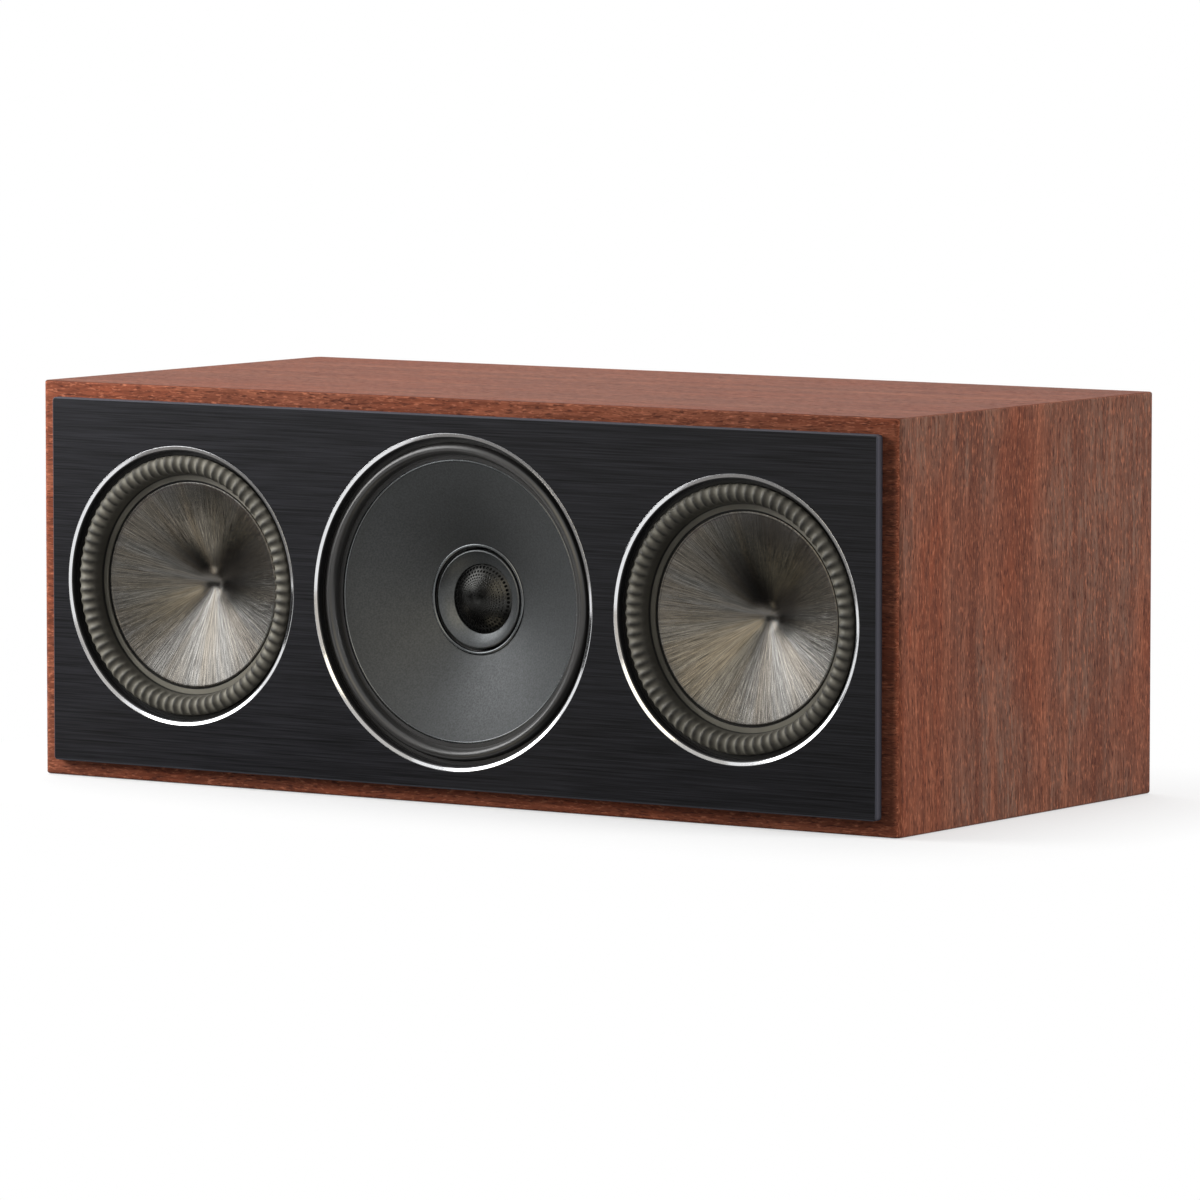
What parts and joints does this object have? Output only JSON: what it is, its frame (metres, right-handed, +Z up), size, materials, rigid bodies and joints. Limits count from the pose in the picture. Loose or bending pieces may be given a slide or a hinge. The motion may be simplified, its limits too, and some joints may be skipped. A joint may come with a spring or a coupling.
{
  "type": "lcr speaker",
  "caption": "Horizontal loudspeaker: veneered box cabinet with a black front plate, ribbed-edge woofers at the sides and a coaxial midrange and tweeter in the middle.",
  "frame": {"origin": "middle of the footprint of the whole object, on the surface that the cabinet stands on", "axes": "+X to the right seen from the front, +Y from the front plate to the back panel, +Z up"},
  "size_m": [0.537, 0.2574, 0.21],
  "materials": {
    "veneer": "satin lacquered wood veneer",
    "chamber_board": "raw fibreboard",
    "front_plate": "black anodised, fine horizontal brushing",
    "trim": "polished",
    "woofer_rubber": "satin",
    "mid_rubber": "satin",
    "woofer_cone": "radially streaked metal under clear coat",
    "mid_cone": "dark anodised satin",
    "casting": "black coated casting",
    "motor_steel": "zinc plated",
    "ferrite": "pressed ferrite",
    "winding": "enamelled copper",
    "spider_cloth": "resin treated cloth",
    "wadding": "polyester wadding",
    "black_plastic": "moulded",
    "grille_metal": "black coated perforated steel",
    "dome_metal": "satin",
    "gold_brass": "gold plated",
    "screw_steel": "black zinc",
    "red_knob": "moulded",
    "black_knob": "moulded",
    "board": "glass fibre laminate",
    "capacitor_film": "wrapped film",
    "resistor_ceramic": "unglazed",
    "lead_sleeve": "sleeved cable"
  },
  "bodies": {
    "cabinet": {"top_panel": "veneer", "bottom_panel": "veneer", "left_side_panel": "veneer", "right_side_panel": "veneer", "front_baffle": "veneer", "back_panel": "veneer", "left_partition": "chamber_board", "right_partition": "chamber_board", "damping_wadding": "wadding", "front_plate": "front_plate", "left_trim_ring": "trim", "centre_trim_ring": "trim", "right_trim_ring": "trim", "wood_screws": "screw_steel", "driver_terminals": "black_plastic", "terminal_cup": "black_plastic", "post_studs": "gold_brass", "post_nuts": "motor_steel", "internal_leads": "lead_sleeve", "left_woofer_basket": "casting", "left_woofer_surround": "woofer_rubber", "left_woofer_spider": "spider_cloth", "left_woofer_top_plate": "motor_steel", "left_woofer_magnet": "ferrite", "left_woofer_yoke": "motor_steel", "right_woofer_basket": "casting", "right_woofer_surround": "woofer_rubber", "right_woofer_spider": "spider_cloth", "right_woofer_top_plate": "motor_steel", "right_woofer_magnet": "ferrite", "right_woofer_yoke": "motor_steel", "midrange_basket": "casting", "midrange_surround": "mid_rubber", "midrange_spider": "spider_cloth", "midrange_top_plate": "motor_steel", "midrange_magnet": "ferrite", "midrange_yoke": "motor_steel", "tweeter_housing": "black_plastic", "tweeter_grille": "grille_metal", "tweeter_surround": "mid_rubber", "tweeter_pole_cap": "motor_steel", "tweeter_magnet": "motor_steel", "tweeter_yoke": "motor_steel", "crossover_board": "board", "board_spacers": "black_plastic", "crossover_inductors": "winding", "crossover_capacitors": "capacitor_film", "crossover_resistors": "resistor_ceramic"},
    "left_woofer_diaphragm": {"left_woofer_cone": "woofer_cone", "left_woofer_voice_coil": "winding"},
    "right_woofer_diaphragm": {"right_woofer_cone": "woofer_cone", "right_woofer_voice_coil": "winding"},
    "midrange_diaphragm": {"midrange_cone": "mid_cone", "midrange_voice_coil": "winding"},
    "tweeter_diaphragm": {"tweeter_dome": "dome_metal", "tweeter_voice_coil": "winding"},
    "red_clamp": {"red_post_washer": "gold_brass"},
    "red_knob": {"red_post_knob": "red_knob"},
    "black_clamp": {"black_post_washer": "gold_brass"},
    "black_knob": {"black_post_knob": "black_knob"}
  },
  "joints": [
    {"name": "left_woofer_stroke", "type": "slide", "parent": "cabinet", "child": "left_woofer_diaphragm", "axis": [0, -1, 0], "range_m": [-0.005, 0.005], "stiffness_N_per_m": 900, "deforming": ["left_woofer_surround", "left_woofer_spider"]},
    {"name": "right_woofer_stroke", "type": "slide", "parent": "cabinet", "child": "right_woofer_diaphragm", "axis": [0, -1, 0], "range_m": [-0.005, 0.005], "stiffness_N_per_m": 900, "deforming": ["right_woofer_surround", "right_woofer_spider"]},
    {"name": "midrange_stroke", "type": "slide", "parent": "cabinet", "child": "midrange_diaphragm", "axis": [0, -1, 0], "range_m": [-0.002, 0.002], "stiffness_N_per_m": 1500, "deforming": ["midrange_surround", "midrange_spider"]},
    {"name": "tweeter_stroke", "type": "slide", "parent": "cabinet", "child": "tweeter_diaphragm", "axis": [0, -1, 0], "range_m": [-0.0003, 0.0003], "stiffness_N_per_m": 500, "deforming": ["tweeter_surround"]},
    {"name": "red_clamp_lift", "type": "slide", "parent": "cabinet", "child": "red_clamp", "axis": [0, 1, 0], "range_m": [0, 0.003]},
    {"name": "red_knob_turn", "type": "hinge", "parent": "red_clamp", "child": "red_knob", "pos_m": [0.00953, 0.12445, 0.105], "axis": [0, 1, 0], "range_deg": [0, 1080]},
    {"name": "black_clamp_lift", "type": "slide", "parent": "cabinet", "child": "black_clamp", "axis": [0, 1, 0], "range_m": [0, 0.003]},
    {"name": "black_knob_turn", "type": "hinge", "parent": "black_clamp", "child": "black_knob", "pos_m": [-0.00953, 0.12445, 0.105], "axis": [0, 1, 0], "range_deg": [0, 1080]}
  ],
  "couplings": [
    {"joint": "red_knob_turn", "follows": "red_clamp_lift", "rad_per_m": 6283.2},
    {"joint": "black_knob_turn", "follows": "black_clamp_lift", "rad_per_m": 6283.2}
  ]
}
